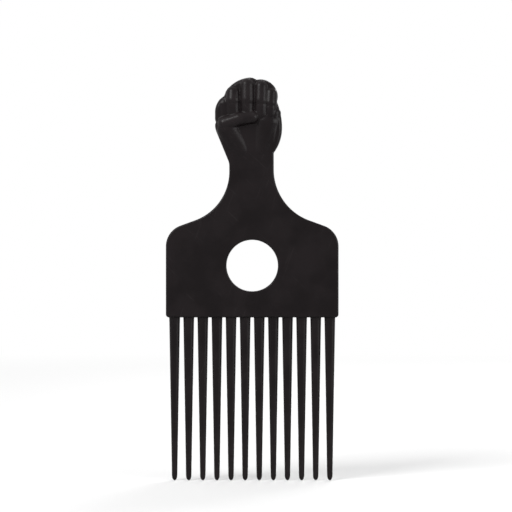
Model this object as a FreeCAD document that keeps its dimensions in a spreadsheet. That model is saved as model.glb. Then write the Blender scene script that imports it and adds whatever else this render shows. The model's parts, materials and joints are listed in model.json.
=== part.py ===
import FreeCAD, Part
from collections import namedtuple
import math
import operator
import os
import Sketcher

# A flat moulded hair pick: a fist-shaped grip, a head with a round window and a row of springy teeth.
# It stands in the XZ plane with its teeth down and the finger side of the fist towards -Y.
# The origin is the middle of the window, at half the thickness of the head.

SIZES = {
    "tooth_count": 12,
    "tooth_pitch": 5.96,
    "tooth_length": 68.75,
    "tooth_root_width": 4.36,
    "tooth_root_flat": 0.96,
    "tooth_tip_width": 2.16,
    "tooth_tip_flat": 0.36,
    "tooth_tip_length": 2.0,
    "tooth_point_width": 1.2,
    "tooth_point_flat": 0.2,
    "tooth_point_radius": 0.45,
    "seat_clearance": 0.08,
    "plate_thickness": 5.0,
    "head_side_margin": 1.45,
    "head_side_height": 29.99,
    "head_corner_radius": 1.3,
    "edge_radius": 0.8,
    "window_diameter": 21.72,
    "window_drop": 21.86,
    "window_rim_radius": 0.6,
    "shoulder_corner_radius": 9.3,
    "shoulder_slope": 20,
    "shoulder_run": 6.6,
    "neck_width": 18.78,
    "neck_offset": -0.29,
    "neck_straight": 1.33,
    "wrist_height": 5.74,
    "wrist_lean": 22.5,
    "wrist_hollow_radius": 7.0,
    "thumb_root_radius": 9.0,
    "fist_width": 28.36,
    "fist_height": 31.8,
    "fist_offset": -1.55,
    "fist_crown_radius": 4.0,
    "fist_knuckle_radius": 1.7,
    "fist_notch_radius": 0.6,
    "finger_rise": 2.4,
    "fingertip_rise": 2.0,
    "thumb_rise": 3.0,
    "palm_rise": 1.7,
    "side_rise": 0.9,
    "back_rise": 1.4,
}

# Places on the fist's outline, as shares of its width and height.
HEEL_LEVEL_SHARE = 0.331
HEEL_NOTCH_SHARES = (0.924, 0.679)
RING_NOTCH_SHARES = (0.625, 0.971)
CROWN_SHARES = (0.535, 1.008)
INDEX_KNUCKLE_SHARES = (0.16, 0.816)
INDEX_NOTCH_SHARES = (0.1405, 0.757)
THUMB_LEVEL_SHARE = 0.544
# The least straight part of the thumb's side, as a share of the fist's height.
THUMB_SIDE_SHARE = 0.03
# How far the lobes over the ring and index fingers stand out, as shares of their chords.
RING_RISE_SHARE = 0.29
INDEX_RISE_SHARE = 0.1

# The rolls on the fist: both ends as shares of its width and height, and the radius at each end as a share of its
# width.
FINGER_SHARES = {
    "index_finger": ((0.272, 0.69), (0.274, 0.785), 0.116, 0.111),
    "middle_finger": ((0.482, 0.70), (0.482, 0.885), 0.121, 0.116),
    "ring_finger": ((0.685, 0.69), (0.69, 0.868), 0.113, 0.106),
    "little_finger": ((0.83, 0.66), (0.835, 0.785), 0.097, 0.092),
}
FINGERTIP_SHARES = {
    "index_tip": ((0.276, 0.545), (0.274, 0.63), 0.108, 0.113),
    "middle_tip": ((0.48, 0.53), (0.48, 0.635), 0.112, 0.117),
    "ring_tip": ((0.682, 0.52), (0.684, 0.62), 0.105, 0.109),
    "little_tip": ((0.827, 0.51), (0.83, 0.595), 0.09, 0.094),
}
THUMB_SHARES = {
    "thumb_tip": ((0.56, 0.466), (0.36, 0.446), 0.097, 0.107),
    "thumb_middle": ((0.36, 0.446), (0.15, 0.385), 0.107, 0.114),
}
PALM_SHARES = {
    "thumb_pad": ((0.37, 0.05), (0.185, 0.31), 0.1, 0.155),
    "palm_heel": ((0.70, 0.07), (0.775, 0.40), 0.105, 0.16),
}
SIDE_SHARES = {
    "index_side": ((0.15, 0.44), (0.16, 0.63), 0.128, 0.115),
    "hand_edge": ((0.83, 0.17), (0.872, 0.51), 0.072, 0.1),
}
BACK_SHARES = {
    "index_back": ((0.39, 0.04), (0.305, 0.775), 0.075, 0.13),
    "middle_back": ((0.487, 0.04), (0.482, 0.845), 0.085, 0.14),
    "ring_back": ((0.58, 0.04), (0.66, 0.83), 0.08, 0.135),
    "little_back": ((0.66, 0.06), (0.80, 0.75), 0.06, 0.115),
}
BACK_SIDE_SHARES = {
    "thumb_back": ((0.31, 0.08), (0.16, 0.45), 0.095, 0.132),
}

SAME_PLACE = 1e-6
HALF_TURN = 180
PRINTED_DIGITS = 2


def joined(symbol, function):
    """An operator on two sizes that keeps the number and the expression in step."""
    def apply(first, second):
        second = second if isinstance(second, Size) else Size(second, repr(second))
        return Size(function(first.value, second.value), f"({first.text} {symbol} {second.text})")
    return apply


class Size:
    """A number, together with the spreadsheet expression that gives it."""

    def __init__(self, value, text):
        self.value = value
        self.text = text

    __add__ = joined("+", operator.add)
    __sub__ = joined("-", operator.sub)
    __mul__ = joined("*", operator.mul)
    __truediv__ = joined("/", operator.truediv)

    def __neg__(self):
        return Size(-self.value, f"(-1 * {self.text})")


def sine(angle):
    return Size(math.sin(math.radians(angle.value)), f"sin({angle.text})")


def cosine(angle):
    return Size(math.cos(math.radians(angle.value)), f"cos({angle.text})")


def larger(first, second):
    return Size(max(first.value, second.value), f"max({first.text}; {second.text})")


def magnitude(value):
    return Size(abs(value.value), f"abs({value.text})")


def distance(across, up):
    return Size(math.hypot(across.value, up.value), f"hypot({across.text}; {up.text})")


# A corner of an outline, with the radius of the edge that leaves it where that edge is an arc.
Corner = namedtuple("Corner", "across up radius hollow", defaults=(None, False))

doc = FreeCAD.newDocument("HairPick")
sheet = doc.addObject("Spreadsheet::Sheet", "Sizes")
for row, (alias, number) in enumerate(SIZES.items(), start=1):
    sheet.set(f"A{row}", alias)
    sheet.set(f"B{row}", str(number))
    sheet.setAlias(f"B{row}", alias)
doc.recompute()
NOTHING = Size(0.0, "0")


def size(alias):
    return Size(float(sheet.get(alias)), f"Sizes.{alias}")


def bind(feature, **values):
    for name, value in values.items():
        feature.setExpression(name, value.text)


def new_body(label):
    body = doc.addObject("PartDesign::Body", label)
    body.Label = label
    return body


def new_sketch(body, name, plane, across=NOTHING, up=NOTHING, out=NOTHING, turn=NOTHING):
    """A sketch on one of the body's own planes, shifted in the plane and out of it, and turned."""
    sketch = body.newObject("Sketcher::SketchObject", name)
    support = next(feature for feature in body.Origin.OriginFeatures if feature.Role == plane)
    sketch.AttachmentSupport = [(support, "")]
    sketch.MapMode = "FlatFace"
    place = FreeCAD.Vector(across.value, up.value, out.value)
    turned = FreeCAD.Rotation(FreeCAD.Vector(0, 0, 1), turn.value)
    sketch.AttachmentOffset = FreeCAD.Placement(place, turned)
    for path, value in {"Base.x": across, "Base.y": up, "Base.z": out, "Rotation.Angle": turn}.items():
        if value is not NOTHING:
            sketch.setExpression(f".AttachmentOffset.{path}", value.text)
    return sketch


def dimension(sketch, kind, *where, value):
    index = sketch.addConstraint(Sketcher.Constraint(kind, *where, value.value))
    sketch.setExpression(f"Constraints[{index}]", value.text)


def arc_between(start, end, radius, hollow):
    """The arc of under half a turn from start to end, as a counter-clockwise curve."""
    chord = end - start
    left = FreeCAD.Vector(-chord.y, chord.x, 0).normalize()
    reach = math.sqrt(radius * radius - chord.Length ** 2 / 4)
    centre = (start + end) / 2 + left * (-reach if hollow else reach)
    first, last = (end, start) if hollow else (start, end)
    begin = math.atan2(first.y - centre.y, first.x - centre.x)
    finish = math.atan2(last.y - centre.y, last.x - centre.x)
    if finish < begin:
        finish += 2 * math.pi
    return Part.ArcOfCircle(Part.Circle(centre, FreeCAD.Vector(0, 0, 1), radius), begin, finish)


def draw_outline(sketch, corners):
    """Draw a closed outline, counter-clockwise, with each corner and radius bound to the sheet."""
    places = [FreeCAD.Vector(corner.across.value, corner.up.value, 0) for corner in corners]
    edges = []
    for index, corner in enumerate(corners):
        start = places[index]
        end = places[(index + 1) % len(places)]
        if corner.radius is None:
            edges.append((sketch.addGeometry(Part.LineSegment(start, end)), 1, 2))
            continue
        arc = sketch.addGeometry(arc_between(start, end, corner.radius.value, corner.hollow))
        edges.append((arc, 2, 1) if corner.hollow else (arc, 1, 2))
    for index, corner in enumerate(corners):
        edge, start, _ = edges[index]
        previous, _, end = edges[index - 1]
        sketch.addConstraint(Sketcher.Constraint("Coincident", previous, end, edge, start))
        dimension(sketch, "DistanceX", -1, 1, edge, start, value=corner.across)
        dimension(sketch, "DistanceY", -1, 1, edge, start, value=corner.up)
        if corner.radius is not None:
            dimension(sketch, "Radius", edge, value=corner.radius)


def add_pad(body, name, sketch, length):
    pad = body.newObject("PartDesign::Pad", name)
    pad.Profile = sketch
    pad.SideType = "Symmetric"
    bind(pad, Length=length)
    doc.recompute()
    return pad


def add_half_turn(body, kind, name, sketch, axis, reverse=False):
    """Turn a sketch by half a turn about one of its own axes, to add a form or to cut one."""
    turned = body.newObject(f"PartDesign::{kind}", name)
    turned.Profile = sketch
    turned.ReferenceAxis = (sketch, [axis])
    turned.Angle = HALF_TURN
    turned.Reversed = reverse
    doc.recompute()
    return turned


def add_loft(body, name, first, last):
    loft = body.newObject("PartDesign::AdditiveLoft", name)
    loft.Profile = first
    loft.Sections = [last]
    loft.Ruled = True
    doc.recompute()
    return loft


def add_fillet(body, name, base, edges, radius):
    fillet = body.newObject("PartDesign::Fillet", name)
    fillet.Base = (base, edges)
    bind(fillet, Radius=radius)
    doc.recompute()
    return fillet


def edge_names(shape, wanted):
    return [f"Edge{number}" for number, edge in enumerate(shape.Edges, start=1) if wanted(edge)]


def stands_along_thickness(face):
    """True for the side walls, whose faces run straight through the thickness."""
    first_u, last_u, first_v, last_v = face.ParameterRange
    return abs(face.normalAt((first_u + last_u) / 2, (first_v + last_v) / 2).y) < SAME_PLACE


def rims(shape, cut_level):
    """The edges of the front and back faces along the side walls, but not across the neck's cut."""
    def wanted(edge):
        box = edge.BoundBox
        if max(abs(box.ZMin - cut_level.value), abs(box.ZMax - cut_level.value)) < SAME_PLACE:
            return False
        walls = [stands_along_thickness(face) for face in shape.ancestorsOfType(edge, Part.Face)]
        return walls.count(True) == 1
    return edge_names(shape, wanted)


# Places that the pieces share

row_length = (size("tooth_count") - 1) * size("tooth_pitch")
head_half = (row_length + size("tooth_root_width")) / 2 + size("head_side_margin")
head_base = -size("window_drop")
shoulder_level = head_base + size("head_side_height")
neck_right = size("neck_offset") + size("neck_width") / 2
neck_left = size("neck_offset") - size("neck_width") / 2


def throat(neck_edge):
    """One side's shoulder: where its slope starts and ends, and the hollow arc that leads into the neck."""
    slope_sine = sine(size("shoulder_slope"))
    slope_cosine = cosine(size("shoulder_slope"))
    corner = size("shoulder_corner_radius")
    slope_across = head_half - corner + corner * slope_sine
    slope_up = shoulder_level + corner * slope_cosine
    hollow_across = slope_across - size("shoulder_run") * slope_cosine
    hollow_up = slope_up + size("shoulder_run") * slope_sine
    hollow_radius = (hollow_across - neck_edge) / (Size(1, "1") - slope_sine)
    neck_level = hollow_up + hollow_radius * slope_cosine
    return slope_across, slope_up, hollow_across, hollow_up, hollow_radius, neck_level


right_throat = throat(neck_right)
left_throat = throat(-neck_left)
neck_top = larger(right_throat[-1], left_throat[-1]) + size("neck_straight")
wrist_level = neck_top + size("wrist_height")


def head_outline():
    corner = size("head_corner_radius")
    shoulder = size("shoulder_corner_radius")
    slope_x, slope_z, hollow_x, hollow_z, hollow_radius, neck_z = right_throat
    outline = [
        Corner(-head_half + corner, head_base),
        Corner(head_half - corner, head_base, corner),
        Corner(head_half, head_base + corner),
        Corner(head_half, shoulder_level, shoulder),
        Corner(slope_x, slope_z),
        Corner(hollow_x, hollow_z, hollow_radius, True),
        Corner(neck_right, neck_z),
        Corner(neck_right, neck_top),
        Corner(neck_left, neck_top),
    ]
    slope_x, slope_z, hollow_x, hollow_z, hollow_radius, neck_z = left_throat
    return outline + [
        Corner(neck_left, neck_z, hollow_radius, True),
        Corner(-hollow_x, hollow_z),
        Corner(-slope_x, slope_z, shoulder),
        Corner(-head_half, shoulder_level),
        Corner(-head_half, head_base + corner, corner),
    ]


def half_oval(width, flat):
    """Half of a flat-sided oval, above its long axis: two quarter rounds and a flat."""
    radius = (width - flat) / 2
    half_flat = flat / 2
    return [
        Corner(-half_flat - radius, NOTHING),
        Corner(half_flat + radius, NOTHING, radius),
        Corner(half_flat, radius),
        Corner(-half_flat, radius, radius),
    ]


def full_oval(width, flat):
    """A flat-sided oval: two flats joined by half rounds, each drawn as two quarters."""
    radius = (width - flat) / 2
    half_flat = flat / 2
    return [
        Corner(-half_flat, -radius),
        Corner(half_flat, -radius, radius),
        Corner(half_flat + radius, NOTHING, radius),
        Corner(half_flat, radius),
        Corner(-half_flat, radius, radius),
        Corner(-half_flat - radius, NOTHING, radius),
    ]


def make_head():
    """The head, shoulders and neck, with the window and a half-round seat for each tooth."""
    body = new_body("comb_head")
    outline = new_sketch(body, "HeadOutline", "XZ_Plane")
    draw_outline(outline, head_outline())
    plate = add_pad(body, "HeadPlate", outline, size("plate_thickness"))
    rounded = add_fillet(body, "HeadRims", plate, rims(plate.Shape, neck_top), size("edge_radius"))

    window = new_sketch(body, "WindowCircle", "XZ_Plane")
    radius = size("window_diameter") / 2
    circle = window.addGeometry(Part.Circle(FreeCAD.Vector(), FreeCAD.Vector(0, 0, 1), radius.value))
    window.addConstraint(Sketcher.Constraint("Coincident", circle, 3, -1, 1))
    dimension(window, "Radius", circle, value=radius)
    opening = body.newObject("PartDesign::Pocket", "Window")
    opening.Profile = window
    opening.Type = "ThroughAll"
    opening.SideType = "Symmetric"
    doc.recompute()

    def on_window(edge):
        is_round = isinstance(edge.Curve, Part.Circle)
        return is_round and abs(edge.Curve.Radius - radius.value) < SAME_PLACE
    add_fillet(body, "WindowRims", opening, edge_names(opening.Shape, on_window), size("window_rim_radius"))

    seat = new_sketch(body, "SeatProfile", "XY_Plane", across=-row_length / 2, out=head_base)
    seat_width = size("tooth_root_width") + size("seat_clearance") * 2
    draw_outline(seat, half_oval(seat_width, size("tooth_root_flat")))
    first_seat = add_half_turn(body, "Groove", "Seat", seat, "H_Axis")
    pattern = body.newObject("PartDesign::LinearPattern", "SeatRow")
    pattern.Originals = [first_seat]
    pattern.Direction = (seat, ["H_Axis"])
    bind(pattern, Length=row_length, Occurrences=size("tooth_count"))
    body.Tip = pattern
    doc.recompute()
    return body


def fist_place(across_share, up_share):
    """A point on the fist, from shares of its width and height."""
    across = size("fist_offset") + size("fist_width") * (across_share - 0.5)
    return across, wrist_level + size("fist_height") * up_share


def lobe_radius(start, end, rise_share):
    """The radius of an arc from its ends and its rise, as a share of the chord between them."""
    chord = distance(end[0] - start[0], end[1] - start[1])
    return chord * ((1 + 4 * rise_share ** 2) / (8 * rise_share))


def upright_radius(side, end):
    """The radius of an arc that is upright at the side of the fist and runs from there to its other end."""
    inward = end[0] - side[0]
    upward = end[1] - side[1]
    return magnitude((inward * inward + upward * upward) / (inward * 2))


wrist_notch = (neck_right, wrist_level)
heel_side = fist_place(1, HEEL_LEVEL_SHARE)
heel_notch = fist_place(*HEEL_NOTCH_SHARES)
ring_notch = fist_place(*RING_NOTCH_SHARES)
crown = fist_place(*CROWN_SHARES)
index_knuckle = fist_place(*INDEX_KNUCKLE_SHARES)
index_notch = fist_place(*INDEX_NOTCH_SHARES)


def fist_outline():
    """A clenched fist on a short wrist, from the neck's cut and back to it, with its thumb side on the left."""
    thumb_side, usual_level = fist_place(0, THUMB_LEVEL_SHARE)
    lean_sine = sine(size("wrist_lean"))
    lean_cosine = cosine(size("wrist_lean"))
    hollow = size("wrist_hollow_radius")
    root = size("thumb_root_radius")
    wrist_x = neck_left - hollow + hollow * lean_cosine
    wrist_z = neck_top + hollow * lean_sine
    root_x = thumb_side + root - root * lean_cosine
    root_z = wrist_z + (wrist_x - root_x) * lean_cosine / lean_sine
    root_top = root_z + root * lean_sine
    least_level = root_top + size("fist_height") * THUMB_SIDE_SHARE
    thumb_middle = (thumb_side, larger(usual_level, least_level))
    return [
        Corner(neck_left, neck_top),
        Corner(neck_right, neck_top),
        Corner(*wrist_notch, upright_radius(heel_side, wrist_notch)),
        Corner(*heel_side, upright_radius(heel_side, heel_notch)),
        Corner(*heel_notch, lobe_radius(heel_notch, ring_notch, RING_RISE_SHARE)),
        Corner(*ring_notch),
        Corner(*crown, lobe_radius(crown, index_knuckle, INDEX_RISE_SHARE)),
        Corner(*index_knuckle),
        Corner(*index_notch, upright_radius(thumb_middle, index_notch)),
        Corner(*thumb_middle),
        Corner(thumb_side, root_top, root),
        Corner(root_x, root_z),
        Corner(wrist_x, wrist_z, hollow, True),
    ]


def round_corners(body, name, base, places, radius):
    """Round the outline's corners at these places, straight through the thickness."""
    def wanted(edge):
        box = edge.BoundBox
        reach = [max(abs(box.Center.x - x.value), abs(box.Center.z - z.value)) for x, z in places]
        return box.YLength > size("plate_thickness").value / 2 and min(reach) < SAME_PLACE
    return add_fillet(body, name, base, edge_names(base.Shape, wanted), radius)


def add_roll(body, name, shares, rise, is_front):
    """Half of a round-ended, tapered roll, whose thicker end stands out of one face of the fist by the rise."""
    lower_share, upper_share, lower_radius_share, upper_radius_share = shares
    lower = fist_place(*lower_share)
    upper = fist_place(*upper_share)
    lower_radius = size("fist_width") * lower_radius_share
    upper_radius = size("fist_width") * upper_radius_share
    across = upper[0] - lower[0]
    up = upper[1] - lower[1]
    lean = Size(math.degrees(math.atan2(-across.value, up.value)), f"atan2({(-across).text}; {up.text})")
    out = size("plate_thickness") / 2 + rise - larger(lower_radius, upper_radius)
    profile = new_sketch(body, name + "_profile", "XZ_Plane", *lower, out if is_front else -out, lean)
    length = distance(across, up)
    draw_outline(profile, [
        Corner(NOTHING, -lower_radius, lower_radius),
        Corner(lower_radius, NOTHING),
        Corner(upper_radius, length, upper_radius),
        Corner(NOTHING, length + upper_radius),
    ])
    return add_half_turn(body, "Revolution", name, profile, "V_Axis", reverse=is_front)


def make_fist():
    """The grip: a fist on a short wrist, with fingers, thumb and palm in front and the hand's back behind."""
    body = new_body("fist_grip")
    outline = new_sketch(body, "FistOutline", "XZ_Plane")
    draw_outline(outline, fist_outline())
    slab = add_pad(body, "FistSlab", outline, size("plate_thickness"))
    notches = [wrist_notch, heel_notch, ring_notch, index_notch]
    notched = round_corners(body, "Notches", slab, notches, size("fist_notch_radius"))
    crowned = round_corners(body, "Crown", notched, [crown], size("fist_crown_radius"))
    rounded = round_corners(body, "IndexCorner", crowned, [index_knuckle], size("fist_knuckle_radius"))
    add_fillet(body, "FistRims", rounded, rims(rounded.Shape, neck_top), size("edge_radius"))
    groups = [
        (FINGER_SHARES, size("finger_rise"), True),
        (FINGERTIP_SHARES, size("fingertip_rise"), True),
        (SIDE_SHARES, size("side_rise"), True),
        (PALM_SHARES, size("palm_rise"), True),
        (THUMB_SHARES, size("thumb_rise"), True),
        (BACK_SHARES, size("back_rise"), False),
        (BACK_SIDE_SHARES, size("side_rise"), False),
    ]
    for group, rise, is_front in groups:
        for name, shares in group.items():
            add_roll(body, name, shares, rise, is_front)
    return body


def make_tooth(number):
    """One tapered tooth: a half-round root that turns in its seat, an oval shaft and a rounded point."""
    body = new_body(f"tooth_{number:02d}")
    length = size("tooth_length")
    sections = {
        "Root": ("tooth_root", NOTHING),
        "Tip": ("tooth_tip", size("tooth_tip_length") - length),
        "Point": ("tooth_point", -length),
    }
    root = new_sketch(body, "RootProfile", "XY_Plane")
    draw_outline(root, half_oval(size("tooth_root_width"), size("tooth_root_flat")))
    add_half_turn(body, "Revolution", "RoundRoot", root, "H_Axis")
    drawn = {}
    for name, (prefix, level) in sections.items():
        drawn[name] = new_sketch(body, name + "Section", "XY_Plane", out=level)
        draw_outline(drawn[name], full_oval(size(prefix + "_width"), size(prefix + "_flat")))
    add_loft(body, "Shaft", drawn["Root"], drawn["Tip"])
    tapered = add_loft(body, "Taper", drawn["Tip"], drawn["Point"])

    def at_point(edge):
        return edge.BoundBox.ZMax < SAME_PLACE - length.value
    add_fillet(body, "RoundPoint", tapered, edge_names(tapered.Shape, at_point), size("tooth_point_radius"))
    across = size("tooth_pitch") * (number - 1) - row_length / 2
    body.setExpression(".Placement.Base.x", across.text)
    body.setExpression(".Placement.Base.z", head_base.text)
    return body


teeth = [make_tooth(number) for number in range(1, int(size("tooth_count").value) + 1)]
pieces = [make_head(), make_fist()] + teeth
doc.recompute()

for feature in doc.Objects:
    if {"Invalid", "Error"} & set(feature.State):
        raise RuntimeError(f"{feature.Name} failed: {feature.State}")
    if feature.isDerivedFrom("Sketcher::SketchObject") and not feature.FullyConstrained:
        raise RuntimeError(f"{feature.Name} is not fully constrained")
for piece in pieces:
    if piece.Shape.isNull() or not piece.Shape.isValid() or len(piece.Shape.Solids) != 1:
        raise RuntimeError(f"{piece.Label} is not one valid solid")

os.makedirs("parts", exist_ok=True)
for piece in pieces:
    piece.Shape.exportStep(f"parts/{piece.Label}.step")
    box = piece.Shape.BoundBox
    low = [round(value, PRINTED_DIGITS) for value in (box.XMin, box.YMin, box.ZMin)]
    high = [round(value, PRINTED_DIGITS) for value in (box.XMax, box.YMax, box.ZMax)]
    print(piece.Label, round(piece.Shape.Volume, PRINTED_DIGITS), low, high)
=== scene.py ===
import json
import math
import bmesh
import bpy
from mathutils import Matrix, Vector


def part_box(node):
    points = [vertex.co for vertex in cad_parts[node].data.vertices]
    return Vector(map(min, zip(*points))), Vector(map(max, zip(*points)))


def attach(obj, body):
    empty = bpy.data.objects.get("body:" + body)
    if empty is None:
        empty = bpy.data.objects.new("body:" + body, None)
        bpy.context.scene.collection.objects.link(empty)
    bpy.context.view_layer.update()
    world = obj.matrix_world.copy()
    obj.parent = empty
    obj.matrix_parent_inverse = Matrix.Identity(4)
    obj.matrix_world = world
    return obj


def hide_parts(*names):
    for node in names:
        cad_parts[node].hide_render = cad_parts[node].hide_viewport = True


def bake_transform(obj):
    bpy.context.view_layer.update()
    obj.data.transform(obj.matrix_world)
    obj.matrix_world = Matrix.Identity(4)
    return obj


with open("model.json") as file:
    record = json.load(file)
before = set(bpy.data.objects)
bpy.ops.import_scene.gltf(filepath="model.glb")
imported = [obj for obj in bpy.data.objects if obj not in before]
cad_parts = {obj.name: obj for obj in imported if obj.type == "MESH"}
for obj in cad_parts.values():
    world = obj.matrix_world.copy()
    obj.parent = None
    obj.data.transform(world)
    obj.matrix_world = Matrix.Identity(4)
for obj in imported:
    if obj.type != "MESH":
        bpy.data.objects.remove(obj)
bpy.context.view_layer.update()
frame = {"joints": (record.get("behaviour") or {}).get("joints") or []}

MM = 0.001
SAME_PLACE = 1e-7


def box_in_mm(node_name):
    """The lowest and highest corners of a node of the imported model."""
    return [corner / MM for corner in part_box(node_name)]


# Sizes in millimetres and degrees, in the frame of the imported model: teeth down, finger side towards -Y, and
# the origin in the middle of the window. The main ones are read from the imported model, which has a joint for
# each tooth.
TOOTH_COUNT = len(frame["joints"])
head_low, head_high = box_in_mm("comb_head")
fist_low, fist_high = box_in_mm("fist_grip")
first_tooth_low = box_in_mm("tooth_01")[0]
last_tooth_low = box_in_mm(f"tooth_{TOOTH_COUNT:02d}")[0]

THICKNESS = head_high.y - head_low.y
HEAD_HALF = head_high.x
HEAD_BASE = head_low.z
HEAD_CORNER = 1.3
SHOULDER_LEVEL = 8.13
SHOULDER_CORNER = 9.3
SHOULDER_SLOPE = 20
SHOULDER_RUN = 6.6
NECK_RIGHT = 9.1
NECK_LEFT = -9.68
NECK_TOP = head_high.z
WINDOW_RADIUS = 10.86

FIST_LEFT = fist_low.x
FIST_WIDTH = fist_high.x - fist_low.x
FIST_HEIGHT = 31.8
WRIST_LEVEL = 47.6
WRIST_LEAN = 22.5
WRIST_HOLLOW = 7.0
THUMB_ROOT = 9.0
THUMB_CREASE_LEVEL = 60.6
THUMB_CREASE_HALF = 0.95
THUMB_CREASE_DEPTH = 0.45

# The rim is rounder on the fist than on the head, and grows from one to the other above the neck.
RIM = 0.8
FIST_RIM = 1.7
RIM_GROWS_FROM = NECK_TOP + 3
RIM_GROWS_TO = NECK_TOP + 12
WINDOW_RIM = 0.6

# The shallow marks that the mould's pins leave on the back of the head
PIN_RADIUS = 2.2
PIN_DEPTH = 0.12
PIN_MARKS = ((-27.5, -12.5), (27.5, -12.5), (-22.0, 8.5), (22.0, 8.5), (0.0, 27.0))

TOOTH_PITCH = (last_tooth_low.x - first_tooth_low.x) / (TOOTH_COUNT - 1)
TOOTH_LENGTH = HEAD_BASE - first_tooth_low.z

# How finely the outline is drawn, the least turn of a rim's edge in radians, and the size of the small cubes
# that the fist's skin is made from
LINE_STEP = 1.2
ARC_STEP = 0.55
SAME_POINT = 0.02
SHARP_TURN = 1
FIST_VOXEL = 0.2


def fist_place(across, up):
    """A place on the fist from shares of its width and height."""
    return FIST_LEFT + FIST_WIDTH * across, WRIST_LEVEL + FIST_HEIGHT * up


def share_between(value, start, end):
    """How far a value has come from start to end, from 0 to 1."""
    return min(max((value - start) / (end - start), 0), 1)


# Small helpers for work in edit mode

def start_piece(name, add, **values):
    """Add a primitive on its own, named, and go into edit mode on it."""
    bpy.ops.object.select_all(action="DESELECT")
    add(**values)
    piece = bpy.context.object
    piece.name = name
    bpy.ops.object.mode_set(mode="EDIT")
    return piece


def choose(piece, kind, test):
    """Select the vertices, edges or faces that pass a test, and nothing else."""
    bpy.ops.mesh.select_mode(type={"verts": "VERT", "edges": "EDGE", "faces": "FACE"}[kind])
    bpy.ops.mesh.select_all(action="DESELECT")
    mesh = bmesh.from_edit_mesh(piece.data)
    for element in getattr(mesh, kind):
        if test(element):
            element.select_set(True)
    mesh.select_flush(True)
    bmesh.update_edit_mesh(piece.data)


def leave_edit():
    bpy.ops.object.mode_set(mode="OBJECT")


def apply_place():
    bpy.ops.object.transform_apply(location=True, rotation=True, scale=True)


def work_on(piece):
    bpy.ops.object.select_all(action="DESELECT")
    piece.select_set(True)
    bpy.context.view_layer.objects.active = piece


def finish_with(piece, kind, **settings):
    """Add one modifier and apply it."""
    work_on(piece)
    modifier = piece.modifiers.new(kind.title(), kind)
    for name, value in settings.items():
        setattr(modifier, name, value)
    bpy.ops.object.modifier_apply(modifier=modifier.name)


def bore(piece, x, y, z, radius, depth, sides):
    """Take a round cut along Y out of a piece."""
    cutter = start_piece("cutter", bpy.ops.mesh.primitive_cylinder_add, vertices=sides, radius=radius * MM,
                         depth=depth * MM, rotation=(math.pi / 2, 0, 0), location=Vector((x, y, z)) * MM)
    leave_edit()
    apply_place()
    finish_with(piece, "BOOLEAN", operation="DIFFERENCE", solver="EXACT", object=cutter)
    bpy.data.objects.remove(cutter)


def join(target, *others):
    work_on(target)
    for other in others:
        other.select_set(True)
    bpy.ops.object.join()


# The outline, drawn as one vertex along straight runs and arcs

def arc(centre_x, centre_z, degrees):
    return "arc", centre_x, centre_z, degrees


def line(x, z):
    return "line", x, z, 0


def lobe(start, end, rise_share):
    """The arc from start to end that stands out by a share of the chord between them."""
    chord = Vector(end) - Vector(start)
    rise = chord.length * rise_share
    radius = chord.length_squared / (8 * rise) + rise / 2
    left = Vector((-chord.y, chord.x)).normalized()
    centre = (Vector(start) + Vector(end)) / 2 + left * (radius - rise)
    return arc(centre.x, centre.y, 2 * math.degrees(math.asin(chord.length / 2 / radius)))


def upright(side, end):
    """The radius and turn of an arc that is upright at one side of the fist and runs from there to an end."""
    inward, upward = abs(end[0] - side[0]), abs(end[1] - side[1])
    radius = (inward ** 2 + upward ** 2) / (2 * inward)
    return radius, math.degrees(math.asin(upward / radius))


def trace(name, start, runs):
    """Draw a closed outline in the XZ plane, counter-clockwise as seen from the front, and fill it."""
    piece = start_piece(name, bpy.ops.mesh.primitive_circle_add, vertices=3, radius=MM)
    bpy.ops.mesh.select_all(action="SELECT")
    bpy.ops.mesh.merge(type="CENTER")
    bpy.ops.transform.translate(value=(start[0] * MM, 0, start[1] * MM))
    here = Vector(start)
    for kind, x, z, degrees in runs:
        if kind == "line":
            way = Vector((x, z)) - here
            count = math.ceil(way.length / LINE_STEP)
            step = way / count * MM
            for _ in range(count):
                bpy.ops.mesh.extrude_region_move(TRANSFORM_OT_translate={"value": (step.x, 0, step.y)})
            here = Vector((x, z))
            continue
        spoke = here - Vector((x, z))
        turn = math.radians(degrees)
        steps = max(3, math.ceil(abs(turn) * spoke.length / ARC_STEP))
        bpy.ops.mesh.spin(steps=steps, angle=turn, center=(x * MM, 0, z * MM), axis=(0, 1, 0))
        turned = Vector((spoke.x * math.cos(turn) - spoke.y * math.sin(turn),
                         spoke.x * math.sin(turn) + spoke.y * math.cos(turn)))
        here = Vector((x, z)) + turned
    bpy.ops.mesh.select_all(action="SELECT")
    bpy.ops.mesh.remove_doubles(threshold=SAME_POINT * MM)
    bpy.ops.mesh.select_all(action="SELECT")
    bpy.ops.mesh.edge_face_add()
    return piece


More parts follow.
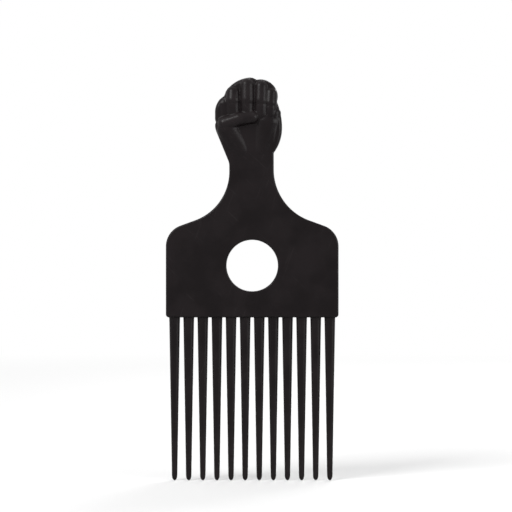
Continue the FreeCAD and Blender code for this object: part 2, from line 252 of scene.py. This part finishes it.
def head_outline():
    """The head's edge below the neck: up its right side to the throat, and from the left throat down."""
    slope = math.radians(SHOULDER_SLOPE)
    corner_x = HEAD_HALF - SHOULDER_CORNER
    slope_x = corner_x + SHOULDER_CORNER * math.sin(slope)
    slope_z = SHOULDER_LEVEL + SHOULDER_CORNER * math.cos(slope)
    hollow_x = slope_x - SHOULDER_RUN * math.cos(slope)
    hollow_z = slope_z + SHOULDER_RUN * math.sin(slope)

    def throat(neck_edge):
        radius = (hollow_x - neck_edge) / (1 - math.sin(slope))
        return neck_edge + radius, hollow_z + radius * math.cos(slope)

    right_x, right_z = throat(NECK_RIGHT)
    left_x, left_z = throat(-NECK_LEFT)
    right = [
        line(HEAD_HALF - HEAD_CORNER, HEAD_BASE),
        arc(HEAD_HALF - HEAD_CORNER, HEAD_BASE + HEAD_CORNER, 90),
        line(HEAD_HALF, SHOULDER_LEVEL),
        arc(corner_x, SHOULDER_LEVEL, 90 - SHOULDER_SLOPE),
        line(hollow_x, hollow_z),
        arc(right_x, right_z, SHOULDER_SLOPE - 90),
    ]
    left = [
        line(NECK_LEFT, left_z),
        arc(-left_x, left_z, SHOULDER_SLOPE - 90),
        line(-slope_x, slope_z),
        arc(-corner_x, SHOULDER_LEVEL, 90 - SHOULDER_SLOPE),
        line(-HEAD_HALF, HEAD_BASE + HEAD_CORNER),
        arc(-HEAD_HALF + HEAD_CORNER, HEAD_BASE + HEAD_CORNER, 90),
    ]
    return right, left


def knuckle_outline():
    """The fist's edge from the wrist's notch on the right, up the heel of the hand and over the knuckles."""
    wrist_notch = (NECK_RIGHT, WRIST_LEVEL)
    heel_side = fist_place(1, 0.331)
    heel_notch = fist_place(0.924, 0.679)
    ring_notch = fist_place(0.625, 0.971)
    crown = fist_place(0.505, 1.0)
    index_knuckle = fist_place(0.16, 0.816)
    ring_rise, crown_rise, index_rise = 0.29, 0.095, 0.11
    heel_radius, heel_turn = upright(heel_side, wrist_notch)
    edge_radius, edge_turn = upright(heel_side, heel_notch)
    return [
        line(*wrist_notch),
        arc(heel_side[0] - heel_radius, heel_side[1], heel_turn),
        arc(heel_side[0] - edge_radius, heel_side[1], edge_turn),
        lobe(heel_notch, ring_notch, ring_rise),
        lobe(ring_notch, crown, crown_rise),
        lobe(crown, index_knuckle, index_rise),
    ]


def thumb_outline():
    """The fist's edge from the index finger down the thumb and the leaning wrist to the neck."""
    index_notch = fist_place(0.1405, 0.757)
    thumb_side, thumb_level = fist_place(0, 0.544)
    thumb_radius, thumb_turn = upright((thumb_side, thumb_level), index_notch)
    lean_sine, lean_cosine = math.sin(math.radians(WRIST_LEAN)), math.cos(math.radians(WRIST_LEAN))
    wrist_x = NECK_LEFT - WRIST_HOLLOW * (1 - lean_cosine)
    wrist_z = NECK_TOP + WRIST_HOLLOW * lean_sine
    root_x = thumb_side + THUMB_ROOT * (1 - lean_cosine)
    root_top = wrist_z + (wrist_x - root_x) * lean_cosine / lean_sine + THUMB_ROOT * lean_sine
    return [
        line(*index_notch),
        arc(thumb_side + thumb_radius, thumb_level, thumb_turn),
        line(thumb_side, THUMB_CREASE_LEVEL + THUMB_CREASE_HALF),
        line(thumb_side + THUMB_CREASE_DEPTH, THUMB_CREASE_LEVEL),
        line(thumb_side, root_top),
        arc(thumb_side + THUMB_ROOT, root_top, WRIST_LEAN),
        line(wrist_x, wrist_z),
        arc(NECK_LEFT - WRIST_HOLLOW, NECK_TOP, -WRIST_LEAN),
    ]


def pick_outline():
    """Head, neck and fist in one line, from the lower left corner of the head."""
    right, left = head_outline()
    return (-HEAD_HALF + HEAD_CORNER, HEAD_BASE), right + knuckle_outline() + thumb_outline() + left


# The flat plate, from which the head and the fist are cut

def make_plate():
    """The flat plate with the pick's outline, its window and its rounded rims."""
    plate = trace("plate", *pick_outline())
    half = THICKNESS / 2 * MM
    bpy.ops.transform.translate(value=(0, -half, 0))
    bpy.ops.mesh.extrude_region_move(TRANSFORM_OT_translate={"value": (0, 2 * half, 0)})
    bpy.ops.mesh.select_all(action="SELECT")
    bpy.ops.mesh.normals_make_consistent(inside=False)
    leave_edit()
    bore(plate, 0, 0, 0, WINDOW_RADIUS, 2 * THICKNESS, sides=120)
    work_on(plate)
    bpy.ops.object.mode_set(mode="EDIT")

    def is_rim(edge):
        level = all(abs(abs(vertex.co.y) - half) < SAME_POINT * MM for vertex in edge.verts)
        return level and len(edge.link_faces) == 2 and edge.calc_face_angle() > SHARP_TURN

    def at_window(edge):
        return all(vertex.co.length < (WINDOW_RADIUS + THICKNESS) * MM for vertex in edge.verts)

    choose(plate, "edges", lambda edge: is_rim(edge) and at_window(edge))
    bpy.ops.mesh.bevel(offset=WINDOW_RIM * MM, segments=4, affect="EDGES", clamp_overlap=False)
    mesh = bmesh.from_edit_mesh(plate.data)
    rounding = mesh.edges.layers.float.new("bevel_weight_edge")
    for edge in mesh.edges:
        if is_rim(edge) and not at_window(edge):
            level = (edge.verts[0].co.z + edge.verts[1].co.z) / 2 / MM
            share = share_between(level, RIM_GROWS_FROM, RIM_GROWS_TO)
            edge[rounding] = (RIM + (FIST_RIM - RIM) * share) / FIST_RIM
    bmesh.update_edit_mesh(plate.data)
    leave_edit()
    finish_with(plate, "BEVEL", width=FIST_RIM * MM, segments=6, limit_method="WEIGHT",
                use_clamp_overlap=False)
    return plate


def cut_across(piece, level, keep_upper):
    """Cut a piece straight across at a level, keep one side of it and close the cut."""
    work_on(piece)
    bpy.ops.object.mode_set(mode="EDIT")
    bpy.ops.mesh.select_all(action="SELECT")
    bpy.ops.mesh.bisect(plane_co=(0, 0, level * MM), plane_no=(0, 0, 1), use_fill=True, threshold=SAME_PLACE,
                        clear_inner=keep_upper, clear_outer=not keep_upper)
    leave_edit()


def part_of_plate(plate, name, level, keep_upper):
    """A copy of the plate on one side of a level."""
    work_on(plate)
    bpy.ops.object.duplicate()
    piece = bpy.context.object
    piece.name = name
    cut_across(piece, level, keep_upper)
    return piece


def make_head(plate):
    """The head, shoulders and neck: the lower part of the plate, with its flat faces kept flat."""
    head = part_of_plate(plate, "head_skin", NECK_TOP, False)
    for x, z in PIN_MARKS:
        bore(head, x, THICKNESS / 2, z, PIN_RADIUS, 2 * PIN_DEPTH, sides=48)
    work_on(head)
    bpy.ops.object.shade_smooth_by_angle(angle=math.radians(50))
    finish_with(head, "WEIGHTED_NORMAL", mode="FACE_AREA", weight=80, keep_sharp=True)
    return head


# The forms of the fist: both ends as shares of its width and height, the radius at each end, how far each end
# stands out of the plate, in millimetres, and how deep the form is for its width.
FRONT_FORMS = {
    "index_upper": ((0.272, 0.695), (0.274, 0.79), 3.3, 3.15, 2.3, 1.6, 1.0),
    "index_lower": ((0.276, 0.545), (0.274, 0.635), 3.1, 3.2, 1.7, 2.0, 1.0),
    "middle_upper": ((0.482, 0.70), (0.482, 0.89), 3.45, 3.3, 2.6, 1.8, 1.0),
    "middle_lower": ((0.48, 0.53), (0.48, 0.63), 3.2, 3.3, 1.9, 2.2, 1.0),
    "ring_upper": ((0.685, 0.69), (0.69, 0.872), 3.2, 3.0, 2.3, 1.5, 1.0),
    "ring_lower": ((0.682, 0.52), (0.684, 0.615), 3.0, 3.1, 1.7, 2.0, 1.0),
    "little_upper": ((0.83, 0.66), (0.836, 0.787), 2.75, 2.6, 1.9, 1.2, 1.0),
    "little_lower": ((0.827, 0.51), (0.83, 0.59), 2.6, 2.65, 1.4, 1.7, 1.0),
    "index_side": ((0.145, 0.44), (0.155, 0.635), 3.9, 3.4, 1.0, 0.6, 0.72),
    "thumb_middle": ((0.15, 0.385), (0.36, 0.446), 3.3, 3.05, 2.3, 3.0, 1.0),
    "thumb_tip": ((0.36, 0.446), (0.56, 0.466), 3.05, 2.75, 3.0, 2.6, 1.0),
    "thumb_pad": ((0.37, 0.04), (0.185, 0.31), 4.6, 4.4, 0.7, 1.9, 0.58),
    "palm_heel": ((0.70, 0.05), (0.78, 0.40), 4.6, 4.9, 0.5, 1.5, 0.56),
    "hand_edge": ((0.83, 0.16), (0.875, 0.52), 3.0, 3.1, 0.4, 0.9, 0.84),
    "palm": ((0.50, 0.0), (0.50, 0.34), 4.5, 5.0, 0.1, 0.3, 0.5),
}
BACK_FORMS = {
    "hand_back": ((0.49, 0.16), (0.495, 0.60), 8.4, 11.6, 0.15, 1.35, 0.2),
    "index_knuckle": ((0.31, 0.64), (0.297, 0.775), 2.9, 3.15, 1.35, 1.7, 0.95),
    "middle_knuckle": ((0.487, 0.70), (0.482, 0.86), 3.1, 3.35, 1.55, 1.85, 0.95),
    "ring_knuckle": ((0.665, 0.67), (0.684, 0.83), 2.9, 3.1, 1.35, 1.65, 0.95),
    "little_knuckle": ((0.805, 0.60), (0.826, 0.745), 2.5, 2.75, 1.0, 1.35, 0.95),
    "index_tendon": ((0.43, 0.12), (0.31, 0.66), 1.4, 2.8, 0.0, 1.4, 0.9),
    "middle_tendon": ((0.49, 0.12), (0.487, 0.72), 1.4, 3.0, 0.05, 1.6, 0.9),
    "ring_tendon": ((0.55, 0.12), (0.665, 0.69), 1.4, 2.8, 0.0, 1.4, 0.9),
    "little_tendon": ((0.61, 0.12), (0.805, 0.62), 1.3, 2.4, -0.1, 1.05, 0.9),
    "thumb_back": ((0.31, 0.05), (0.155, 0.44), 3.2, 3.6, -0.3, 0.95, 0.75),
}


def make_form(name, side, lower, upper, lower_radius, upper_radius, lower_rise, upper_rise, depth):
    """A round-ended roll: a ball whose upper half is drawn out to the other end and sized to it."""
    def centre(place, radius, rise):
        x, z = fist_place(*place)
        return Vector((x, side * (THICKNESS / 2 + rise - radius * depth), z)) * MM

    low = centre(lower, lower_radius, lower_rise)
    high = centre(upper, upper_radius, upper_rise)
    along = (high - low).normalized()
    turn = Vector((0, 0, 1)).rotation_difference(along)

    def is_upper(vertex):
        return (vertex.co - low).dot(along) > SAME_PLACE

    form = start_piece(name, bpy.ops.mesh.primitive_uv_sphere_add, segments=40, ring_count=20,
                       radius=lower_radius * MM, rotation=turn.to_euler(), location=low)
    leave_edit()
    apply_place()
    bpy.ops.object.mode_set(mode="EDIT")
    choose(form, "verts", is_upper)
    bpy.ops.transform.translate(value=high - low)
    bpy.ops.transform.resize(value=(upper_radius / lower_radius,) * 3, center_override=high)
    choose(form, "verts", lambda vertex: not is_upper(vertex))
    bpy.ops.transform.resize(value=(1, depth, 1), center_override=low)
    choose(form, "verts", is_upper)
    bpy.ops.transform.resize(value=(1, depth, 1), center_override=high)
    leave_edit()
    return form


def make_fist(plate):
    """The grip: the upper part of the plate and the forms of the fist, run together into one skin.

    The skin turns softer from the neck up, and softest on the back of the hand. At the neck it lies on the
    plate, so that it meets the head with no step."""
    below_cut = 3
    soft_from, soft_to = NECK_TOP + 1.5, NECK_TOP + 6.5
    back_from, back_to = THICKNESS / 2 - 0.2, THICKNESS / 2 + 0.4
    fist = part_of_plate(plate, "fist_skin", NECK_TOP - below_cut, True)
    forms = [make_form(name, -1, *values) for name, values in FRONT_FORMS.items()]
    forms += [make_form(name, 1, *values) for name, values in BACK_FORMS.items()]
    join(fist, *forms)
    finish_with(fist, "REMESH", mode="VOXEL", voxel_size=FIST_VOXEL * MM, use_smooth_shade=True)
    soft = fist.vertex_groups.new(name="fist")
    back = fist.vertex_groups.new(name="back")
    flat = fist.vertex_groups.new(name="neck")
    for vertex in fist.data.vertices:
        share = share_between(vertex.co.z / MM, soft_from, soft_to)
        raised = share_between(vertex.co.y / MM, back_from, back_to)
        soft.add([vertex.index], share, "REPLACE")
        back.add([vertex.index], share * raised, "REPLACE")
        flat.add([vertex.index], 1 - share, "REPLACE")
    finish_with(fist, "SMOOTH", factor=0.5, iterations=16, vertex_group="fist")
    finish_with(fist, "SMOOTH", factor=0.5, iterations=60, vertex_group="back")
    finish_with(fist, "SHRINKWRAP", target=plate, wrap_method="NEAREST_SURFACEPOINT", vertex_group="neck")
    fist.vertex_groups.clear()
    cut_across(fist, NECK_TOP, True)
    bpy.ops.object.shade_smooth_by_angle(angle=math.radians(60))
    return fist


# The rings of a tooth: how far each lies below the head, its width and its depth. The flared root and the
# round point are listed, and the rings between them taper evenly.
ROOT_RINGS = [(-1.0, 4.5, 3.4), (-0.02, 4.98, 3.72), (0.05, 4.82, 3.6), (0.16, 4.69, 3.5), (0.4, 4.6, 3.43)]
POINT_RINGS = [(67.5, 2.13, 1.68), (68.05, 1.81, 1.45), (68.45, 1.33, 1.1), (68.66, 0.85, 0.72),
               (68.74, 0.38, 0.33)]
TAPER_COUNT = 26
TAPER_LENGTH = 66.75
TAPER_WIDTHS = (4.55, 2.3)
TAPER_DEPTHS = (3.4, 1.8)


def tooth_x(number):
    return TOOTH_PITCH * (number - (TOOTH_COUNT + 1) / 2)


def tooth_rings():
    rings = list(ROOT_RINGS)
    for step in range(1, TAPER_COUNT + 1):
        share = step / TAPER_COUNT
        width = TAPER_WIDTHS[0] + (TAPER_WIDTHS[1] - TAPER_WIDTHS[0]) * share
        depth = TAPER_DEPTHS[0] + (TAPER_DEPTHS[1] - TAPER_DEPTHS[0]) * share
        rings.append((TAPER_LENGTH * share, width, depth))
    return rings + POINT_RINGS


def make_first_tooth():
    """One tapered tooth with a flared root and a round point, drawn out ring by ring."""
    x = tooth_x(1)
    rings = tooth_rings()
    down, width, depth = rings[0]
    tooth = start_piece("tooth_skin_01", bpy.ops.mesh.primitive_circle_add, vertices=28, radius=0.5 * MM,
                        fill_type="NGON")
    bpy.ops.mesh.select_all(action="SELECT")
    bpy.ops.transform.resize(value=(width, depth, 1))
    bpy.ops.transform.translate(value=(x * MM, 0, (HEAD_BASE - down) * MM))
    for next_down, next_width, next_depth in rings[1:]:
        bpy.ops.mesh.extrude_region_move(TRANSFORM_OT_translate={"value": (0, 0, (down - next_down) * MM)})
        place = (x * MM, 0, (HEAD_BASE - next_down) * MM)
        bpy.ops.transform.resize(value=(next_width / width, next_depth / depth, 1), center_override=place)
        down, width, depth = next_down, next_width, next_depth
    bpy.ops.mesh.extrude_region_move(TRANSFORM_OT_translate={"value": (0, 0, (down - TOOTH_LENGTH) * MM)})
    bpy.ops.mesh.merge(type="CENTER")
    bpy.ops.mesh.select_all(action="SELECT")
    bpy.ops.mesh.normals_make_consistent(inside=False)
    leave_edit()
    bpy.ops.object.shade_smooth()
    return tooth


def make_teeth():
    """The first tooth and its copies, from left to right."""
    teeth = [make_first_tooth()]
    for number in range(2, TOOTH_COUNT + 1):
        work_on(teeth[-1])
        bpy.ops.object.duplicate()
        copy = bpy.context.object
        copy.name = f"tooth_skin_{number:02d}"
        bpy.ops.transform.translate(value=(TOOTH_PITCH * MM, 0, 0))
        apply_place()
        teeth.append(copy)
    return teeth


# Materials

def new_material(name):
    material = bpy.data.materials.new(name)
    material.use_nodes = True
    material.node_tree.nodes.clear()
    return material, material.node_tree


def node(tree, kind, settings=None, **inputs):
    """Add a node with its settings; each input is a plain value or another node's output."""
    made = tree.nodes.new(kind)
    for name, value in (settings or {}).items():
        setattr(made, name, value)
    for name, value in inputs.items():
        socket = made.inputs[int(name[1:])] if name[0] == "_" else made.inputs[name.replace("_", " ")]
        if isinstance(value, bpy.types.NodeSocket):
            tree.links.new(value, socket)
        else:
            socket.default_value = value
    return made


def math_node(tree, operation, *values):
    return node(tree, "ShaderNodeMath", {"operation": operation},
                **{f"_{index}": value for index, value in enumerate(values)}).outputs[0]


def noise(tree, place, scale, detail):
    return node(tree, "ShaderNodeTexNoise", Vector=place, Scale=scale, Detail=detail).outputs["Fac"]


def spread(tree, value, low, high, to_low, to_high):
    """Map a range smoothly onto another."""
    return node(tree, "ShaderNodeMapRange", {"interpolation_type": "SMOOTHSTEP"}, Value=value, From_Min=low,
                From_Max=high, To_Min=to_low, To_Max=to_high).outputs[0]


def blend_colours(tree, share, first, second):
    mix = node(tree, "ShaderNodeMix", {"data_type": "RGBA"}, Factor=share, A=first, B=second)
    return mix.outputs["Result"]


# The plastic's colours: its darkest and palest clouds, its rubbed places and its scratches
DARK_CLOUD = (0.0062, 0.0042, 0.0047, 1)
PALE_CLOUD = (0.0108, 0.0080, 0.0087, 1)
RUBBED = (0.0150, 0.0115, 0.0123, 1)
SCRATCHED = (0.026, 0.022, 0.023, 1)
GRAIN_SHARE = 0.5
SCRATCH_SHARE = 0.7

# How many clouds, ripples and grains lie along a metre
CLOUD_SCALE = 70
RIPPLE_SCALE = 190
GRAIN_SCALE = 3200

# The turn of each set of scratches in radians, and about how wide and long the streaks are
SCRATCHES = ((0.35, 0.38, 16.7), (-0.8, 0.53, 20.0))

# How rough the plastic is between clouds, and what scratches and rubbing add to that
ROUGHNESS = (0.29, 0.37)
SCRATCH_ROUGHNESS = 0.10
RUBBED_ROUGHNESS = -0.05

# The heights of its relief, and how far from the middle of the edge the parting line fades out
RIPPLE_HEIGHT = 0.010
GRAIN_HEIGHT = 0.0022
SCRATCH_HEIGHT = -0.0030
PARTING_HEIGHT = 0.04
PARTING_FADES = (0.05, 0.16)

# Where it is rubbed: how far a rim faces the front or back, how far the fist stands out of the middle, and
# the levels between which the rubbing of the teeth grows towards their ends
RIM_STARTS = (0.25, 0.6)
RIM_ENDS = (0.75, 0.97)
FIST_STANDS_OUT = (3.4, 4.8)
TOOTH_ENDS = (-90, -50)
LEAST_RUBBED = 0.35


def scratch_marks(tree, place, clouds):
    """Hairline scratches in two directions, in worn patches."""
    scratches = 0.0
    for turn, across, along in SCRATCHES:
        mapping = node(tree, "ShaderNodeMapping", {"vector_type": "TEXTURE"}, Vector=place,
                       Rotation=(0, turn, 0), Scale=Vector((across, across, along)) * MM)
        streak = spread(tree, noise(tree, mapping.outputs[0], 1.0, 1.0), 0.70, 0.76, 0.0, 1.0)
        scratches = math_node(tree, "MAXIMUM", scratches, streak)
    return math_node(tree, "MULTIPLY", scratches, spread(tree, clouds, 0.42, 0.62, 0.0, 1.0))


def rubbed_places(tree, normal, off_middle, up, ripples):
    """Where hands and hair rub the plastic: the rims, the raised fist and the ends of the teeth."""
    facing = node(tree, "ShaderNodeSeparateXYZ", Vector=normal).outputs["Y"]
    facing = math_node(tree, "ABSOLUTE", facing)
    rim_start = spread(tree, facing, *RIM_STARTS, 0.0, 1.0)
    rim_end = spread(tree, facing, *RIM_ENDS, 1.0, 0.0)
    rim = math_node(tree, "MULTIPLY", rim_start, rim_end)
    raised = spread(tree, off_middle, *(Vector(FIST_STANDS_OUT) * MM), 0.0, 1.0)
    tooth_end = spread(tree, up, *(Vector(TOOTH_ENDS) * MM), 1.0, 0.0)
    rubbed = math_node(tree, "MAXIMUM", math_node(tree, "MAXIMUM", rim, raised), tooth_end)
    return math_node(tree, "MULTIPLY", rubbed, spread(tree, ripples, 0.35, 0.6, LEAST_RUBBED, 1.0))


def moulded_plastic():
    """Satin black moulded plastic: slight clouding, fine grain, hairline scratches, a parting line all round
    the edge, and a smoother, paler finish where it is rubbed."""
    material, tree = new_material("moulded_black_plastic")
    coordinates = node(tree, "ShaderNodeTexCoord")
    place = coordinates.outputs["Object"]
    clouds = noise(tree, place, CLOUD_SCALE, 3.0)
    ripples = noise(tree, place, RIPPLE_SCALE, 1.0)
    grain = noise(tree, place, GRAIN_SCALE, 2.0)
    scratches = scratch_marks(tree, place, clouds)
    split = node(tree, "ShaderNodeSeparateXYZ", Vector=place)
    off_middle = math_node(tree, "ABSOLUTE", split.outputs["Y"])
    parting = spread(tree, off_middle, *(Vector(PARTING_FADES) * MM), 1.0, 0.0)
    rubbed = rubbed_places(tree, coordinates.outputs["Normal"], off_middle, split.outputs["Z"], ripples)

    mottled = spread(tree, clouds, 0.35, 0.65, -GRAIN_SHARE / 2, 1 - GRAIN_SHARE / 2)
    mottled = math_node(tree, "MULTIPLY_ADD", grain, GRAIN_SHARE, mottled)
    colour = blend_colours(tree, mottled, DARK_CLOUD, PALE_CLOUD)
    colour = blend_colours(tree, rubbed, colour, RUBBED)
    colour = blend_colours(tree, math_node(tree, "MULTIPLY", scratches, SCRATCH_SHARE), colour, SCRATCHED)
    roughness = spread(tree, clouds, 0.3, 0.7, *ROUGHNESS)
    roughness = math_node(tree, "MULTIPLY_ADD", scratches, SCRATCH_ROUGHNESS, roughness)
    roughness = math_node(tree, "MULTIPLY_ADD", rubbed, RUBBED_ROUGHNESS, roughness)

    height = math_node(tree, "MULTIPLY", ripples, RIPPLE_HEIGHT * MM)
    height = math_node(tree, "MULTIPLY_ADD", grain, GRAIN_HEIGHT * MM, height)
    height = math_node(tree, "MULTIPLY_ADD", scratches, SCRATCH_HEIGHT * MM, height)
    height = math_node(tree, "MULTIPLY_ADD", parting, PARTING_HEIGHT * MM, height)
    bump = node(tree, "ShaderNodeBump", Height=height, Strength=1.0, Distance=1.0)
    shader = node(tree, "ShaderNodeBsdfPrincipled", Base_Color=colour, Roughness=roughness,
                  Normal=bump.outputs[0], IOR=1.47, Specular_IOR_Level=0.12)
    node(tree, "ShaderNodeOutputMaterial", Surface=shader.outputs[0])
    return material


# The floor's tone on the rays that show the background and on all others, and the distances, in metres,
# between which it turns white
FLOOR_PALE = (0.82, 0.82, 0.82, 1)
FLOOR_DIM = (0.22, 0.22, 0.22, 1)
FLOOR_RUNS_OUT = (0.2, 1.1)


def background_rays(tree):
    """1 on the rays that show the background: the camera's, mirrored ones and those through glass."""
    path = node(tree, "ShaderNodeLightPath").outputs
    mirrored = math_node(tree, "MAXIMUM", path["Is Glossy Ray"], path["Is Transmission Ray"])
    return math_node(tree, "MAXIMUM", path["Is Camera Ray"], mirrored)


def pale_floor():
    """A matt white floor that runs out into the white of the background, and throws little light back up."""
    material, tree = new_material("pale_floor")
    place = node(tree, "ShaderNodeTexCoord").outputs["Object"]
    reach = node(tree, "ShaderNodeVectorMath", {"operation": "LENGTH"}, _0=place).outputs["Value"]
    seen = background_rays(tree)
    far = math_node(tree, "MULTIPLY", spread(tree, reach, *FLOOR_RUNS_OUT, 0.0, 1.0), seen)
    tone = blend_colours(tree, seen, FLOOR_DIM, FLOOR_PALE)
    near = node(tree, "ShaderNodeBsdfDiffuse", Color=tone)
    beyond = node(tree, "ShaderNodeEmission", Color=(1, 1, 1, 1), Strength=1.0)
    mixed = node(tree, "ShaderNodeMixShader", _0=far, _1=near.outputs[0], _2=beyond.outputs[0])
    node(tree, "ShaderNodeOutputMaterial", Surface=mixed.outputs[0])
    return material


# Stage, in metres

FLOOR_SIZE = 30
FLOOR_GAP = 0.1 * MM
# The sky grows lighter between these heights of a unit direction, from the first level to the second.
SKY_RISES = (0.2, 0.95)
SKY_LEVELS = (0.08, 0.8)
LAMP_SIZE = 0.5
# The place and power of each lamp, all turned to the middle of the pick
LAMPS = {
    "key_lamp": ((-0.62, -0.62, 0.66), 9.0),
    "fill_lamp": ((0.8, -0.55, 0.2), 4.0),
    "back_lamp": ((0.35, 0.75, 0.55), 5.0),
}
# How wide the camera sees at the pick, and the middle of its view in X and Z
VIEW_WIDTH = 0.2163
VIEW_CENTRE = (0.0016, 0.00406)


def make_floor():
    bpy.ops.object.select_all(action="DESELECT")
    bpy.ops.mesh.primitive_plane_add(size=FLOOR_SIZE, location=(0, 0, 0))
    floor = bpy.context.object
    floor.name = "floor"
    bpy.ops.transform.translate(value=(0, 0, (HEAD_BASE - TOOTH_LENGTH) * MM - FLOOR_GAP))
    floor.data.materials.append(pale_floor())


def make_world():
    """Soft light from above, and plain white on the rays that show the background."""
    world = bpy.data.worlds.new("studio")
    bpy.context.scene.world = world
    world.use_nodes = True
    tree = world.node_tree
    tree.nodes.clear()
    direction = node(tree, "ShaderNodeTexCoord").outputs["Generated"]
    up = node(tree, "ShaderNodeSeparateXYZ", Vector=direction).outputs["Z"]
    level = spread(tree, up, *SKY_RISES, *SKY_LEVELS)
    studio = node(tree, "ShaderNodeBackground", Color=(1, 1, 1, 1), Strength=level)
    white = node(tree, "ShaderNodeBackground", Color=(1, 1, 1, 1), Strength=1.0)
    seen = background_rays(tree)
    mixed = node(tree, "ShaderNodeMixShader", _0=seen, _1=studio.outputs[0], _2=white.outputs[0])
    node(tree, "ShaderNodeOutputWorld", Surface=mixed.outputs[0])


def make_lamps():
    for name, (place, power) in LAMPS.items():
        lamp = bpy.data.lights.new(name, "AREA")
        lamp.size = LAMP_SIZE
        lamp.energy = power
        holder = bpy.data.objects.new(name, lamp)
        bpy.context.scene.collection.objects.link(holder)
        holder.location = place
        holder.rotation_euler = (-Vector(place)).to_track_quat("-Z", "Y").to_euler()


def make_camera():
    """A long lens straight in front of the pick."""
    lens = bpy.data.cameras.new("photo_camera")
    lens.lens = 135
    lens.sensor_width = 36
    camera = bpy.data.objects.new("photo_camera", lens)
    bpy.context.scene.collection.objects.link(camera)
    x, z = VIEW_CENTRE
    camera.location = (x, -VIEW_WIDTH * lens.lens / lens.sensor_width, z)
    camera.rotation_euler = (math.pi / 2, 0, 0)
    bpy.context.scene.camera = camera


# The pick and its stage

plastic = moulded_plastic()
plate = make_plate()
for skin, node_name in ((make_head(plate), "comb_head"), (make_fist(plate), "fist_grip")):
    skin.data.materials.clear()
    skin.data.materials.append(plastic)
    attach(skin, "handle")
    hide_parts(node_name)
bpy.data.objects.remove(plate)

for number, tooth in enumerate(make_teeth(), start=1):
    tooth.data.materials.append(plastic)
    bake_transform(tooth)
    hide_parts(f"tooth_{number:02d}")

bpy.context.scene.view_settings.view_transform = "Standard"
make_floor()
make_world()
make_lamps()
make_camera()
